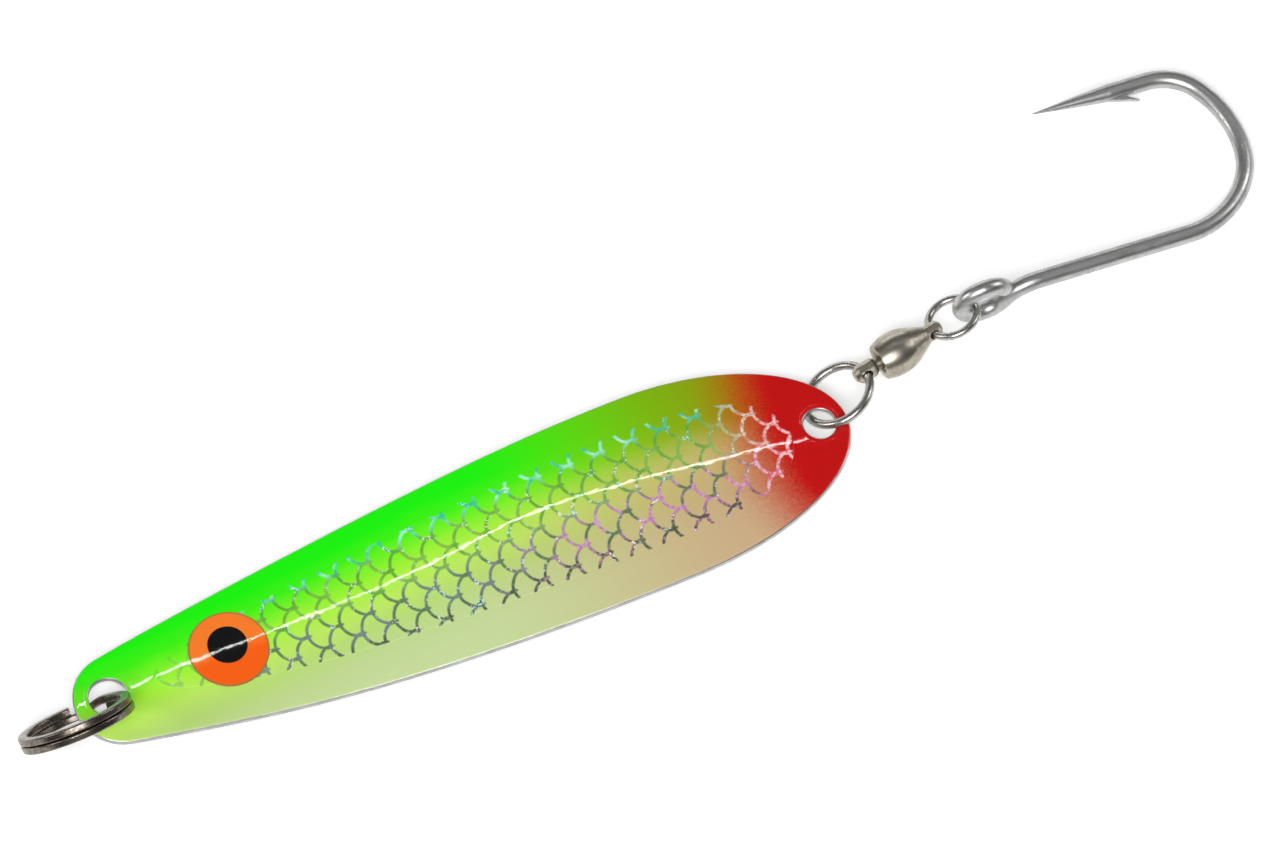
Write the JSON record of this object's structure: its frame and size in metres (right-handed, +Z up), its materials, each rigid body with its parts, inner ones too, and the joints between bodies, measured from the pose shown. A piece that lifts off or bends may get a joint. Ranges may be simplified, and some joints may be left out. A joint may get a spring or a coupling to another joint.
{
  "type": "spoon fishing lure",
  "caption": "Painted metal spoon lure: leaf-shaped S-bent blade with a split ring at the nose, and a ball bearing swivel carrying a single barbed hook at the tail.",
  "frame": {"origin": "bottom centre of the whole lure's box, on the surface it lies on", "axes": "+X from the nose of the blade towards the hook, +Z up out of the painted face"},
  "size_m": [0.149, 0.0364, 0.0117],
  "materials": {
    "bare_blade": "satin silver plating on the back, the edges and the hole walls",
    "paint": "gloss paint under clear coat: fluorescent green back, chartreuse middle, pale belly, red tail end",
    "scale_film": "iridescent film printed with rows of fine scale arcs, under clear coat",
    "eye_orange": "gloss orange print",
    "eye_black": "gloss black print",
    "black_nickel": "dark nickel plating on flat spring wire",
    "ring_steel": "polished round wire",
    "swivel_nickel": "warm satin nickel plating, slightly worn",
    "bearing_steel": "ground steel",
    "hook_tin": "grey tinned wire with a soft sheen"
  },
  "bodies": {
    "blade": {"blade_blank": "bare_blade", "paint_coat": "paint", "scale_film": "scale_film", "eye_iris": "eye_orange", "eye_pupil": "eye_black"},
    "nose_ring": {"nose_split_ring": "black_nickel"},
    "tail_ring": {"tail_ring": "ring_steel"},
    "shaft": {"swivel_shaft": "swivel_nickel", "thrust_race": "bearing_steel"},
    "balls": {"bearing_ball_1": "bearing_steel", "bearing_ball_2": "bearing_steel", "bearing_ball_3": "bearing_steel", "bearing_ball_4": "bearing_steel", "bearing_ball_5": "bearing_steel", "bearing_ball_6": "bearing_steel", "bearing_ball_7": "bearing_steel", "bearing_ball_8": "bearing_steel"},
    "barrel": {"swivel_barrel": "swivel_nickel", "swivel_end_post": "swivel_nickel"},
    "hook_ring": {"hook_ring": "ring_steel"},
    "hook": {"hook": "hook_tin"}
  },
  "joints": [
    {"name": "nose_ring_swing", "type": "hinge", "parent": "blade", "child": "nose_ring", "pos_m": [-0.06351, -0.00733, 0.00278], "axis": [0.6382, -0.3804, 0.6693], "range_deg": [-75, 15]},
    {"name": "tail_ring_swing", "type": "hinge", "parent": "blade", "child": "tail_ring", "pos_m": [0.0191, -0.00693, 0.00292], "axis": [-0.4078, 0.4958, -0.7667], "range_deg": [-8, 40]},
    {"name": "shaft_pivot", "type": "hinge", "parent": "tail_ring", "child": "shaft", "pos_m": [0.02531, -0.00344, 0.0038], "axis": [-0.1498, 0.8924, -0.4257], "range_deg": [-60, 60]},
    {"name": "barrel_spin", "type": "hinge", "parent": "shaft", "child": "barrel", "pos_m": [0.02831, -0.00292, 0.00385], "axis": [0.9847, 0.1736, 0.0174], "continuous": true},
    {"name": "ball_orbit", "type": "hinge", "parent": "shaft", "child": "balls", "pos_m": [0.02831, -0.00292, 0.00385], "axis": [0.9847, 0.1736, 0.0174], "continuous": true},
    {"name": "hook_ring_pivot", "type": "hinge", "parent": "barrel", "child": "hook_ring", "pos_m": [0.03373, -0.00196, 0.00395], "axis": [-0.1498, 0.8924, -0.4257], "range_deg": [-60, 60]},
    {"name": "hook_pivot", "type": "hinge", "parent": "hook_ring", "child": "hook", "pos_m": [0.03906, -0.00082, 0.00446], "axis": [-0.1498, 0.8924, -0.4257], "range_deg": [-45, 45]}
  ],
  "couplings": [
    {"joint": "ball_orbit", "follows": "barrel_spin", "ratio": 0.5}
  ]
}
